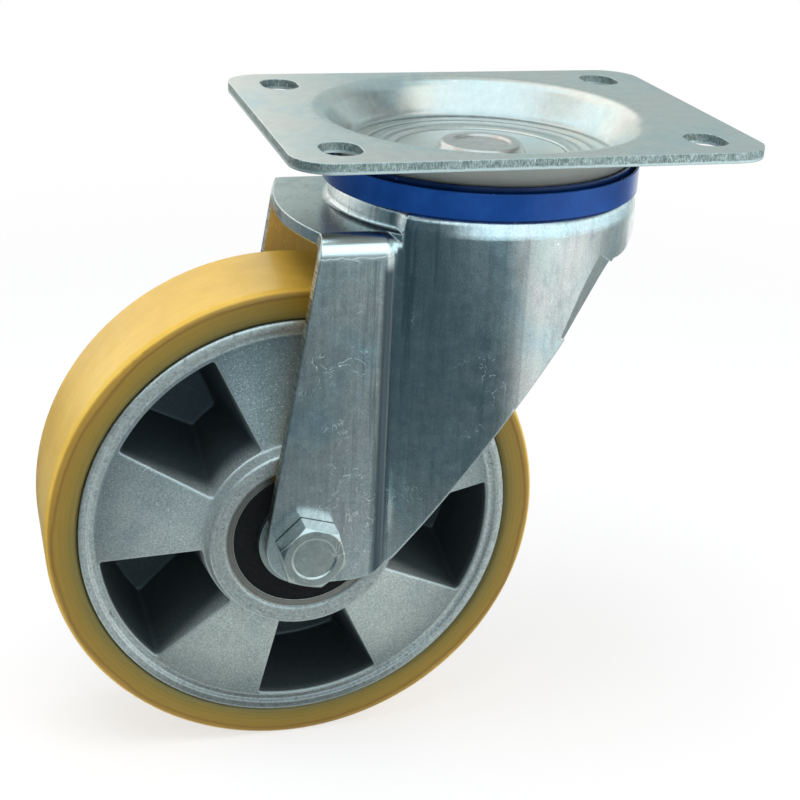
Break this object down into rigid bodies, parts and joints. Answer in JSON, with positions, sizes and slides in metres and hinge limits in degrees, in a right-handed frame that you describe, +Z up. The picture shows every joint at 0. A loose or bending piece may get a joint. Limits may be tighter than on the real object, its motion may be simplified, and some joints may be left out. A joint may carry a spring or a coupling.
{
  "type": "swivel castor",
  "caption": "Heavy swivel castor: pressed top plate with slotted holes, ball-raced fork head with blue dust seal, cast rim with lightening pockets, amber polyurethane tyre on ball bearings.",
  "frame": {"origin": "centre of the top plate's upper face, on the swivel axis", "axes": "+Z up, out of the mounting face; Y along the plate's long side, the wheel trailing towards -Y; X along the axle, the bolt head at +X"},
  "size_m": [0.145, 0.266, 0.261],
  "materials": {
    "zinc_plate": "zinc plated, brushed",
    "zinc_fork": "zinc plated, satin",
    "zinc_pin": "zinc plated, satin",
    "zinc_fastener": "zinc plated, bright",
    "plain_steel": "turned",
    "bearing_steel": "ground",
    "blue_plastic": "semi-gloss, moulded",
    "cast_aluminium": "as cast",
    "amber_polyurethane": "semi-gloss, translucent amber",
    "black_rubber": "moulded",
    "cage_plastic": "moulded"
  },
  "bodies": {
    "mounting": {"top_plate": "zinc_plate", "kingpin": "zinc_pin", "distance_sleeve": "plain_steel", "lower_race": "plain_steel"},
    "upper_ball_row": {"upper_race_balls": "bearing_steel"},
    "lower_ball_row": {"lower_race_balls": "bearing_steel"},
    "swivel_fork": {"fork": "zinc_fork", "dust_seal": "blue_plastic", "axle_bolt": "zinc_fastener", "axle_washer": "zinc_fastener", "axle_nut": "zinc_fastener", "axle_tube": "plain_steel", "bearing_spacer": "plain_steel", "distance_washer_right": "plain_steel", "distance_washer_left": "plain_steel", "bearing_inner_ring_right": "bearing_steel", "bearing_inner_ring_left": "bearing_steel"},
    "wheel": {"rim": "cast_aluminium", "tyre": "amber_polyurethane", "bearing_outer_ring_right": "bearing_steel", "bearing_outer_ring_left": "bearing_steel", "bearing_seal_right": "black_rubber", "bearing_seal_left": "black_rubber"},
    "bearing_ball_sets": {"bearing_balls_right": "bearing_steel", "bearing_balls_left": "bearing_steel", "bearing_cage_right": "cage_plastic", "bearing_cage_left": "cage_plastic"}
  },
  "joints": [
    {"name": "swivel", "type": "hinge", "parent": "mounting", "child": "swivel_fork", "pos_m": [0, 0, 0], "axis": [0, 0, 1], "continuous": true},
    {"name": "wheel_spin", "type": "hinge", "parent": "swivel_fork", "child": "wheel", "pos_m": [0, -0.076, -0.161], "axis": [1, 0, 0], "continuous": true},
    {"name": "upper_ball_roll", "type": "hinge", "parent": "mounting", "child": "upper_ball_row", "pos_m": [0, 0, 0], "axis": [0, 0, 1], "continuous": true},
    {"name": "lower_ball_roll", "type": "hinge", "parent": "mounting", "child": "lower_ball_row", "pos_m": [0, 0, 0], "axis": [0, 0, 1], "continuous": true},
    {"name": "bearing_ball_roll", "type": "hinge", "parent": "swivel_fork", "child": "bearing_ball_sets", "pos_m": [0, -0.076, -0.161], "axis": [1, 0, 0], "continuous": true}
  ],
  "couplings": [
    {"joint": "upper_ball_roll", "follows": "swivel", "ratio": 0.5},
    {"joint": "lower_ball_roll", "follows": "swivel", "ratio": 0.5},
    {"joint": "bearing_ball_roll", "follows": "wheel_spin", "ratio": 0.6184}
  ]
}
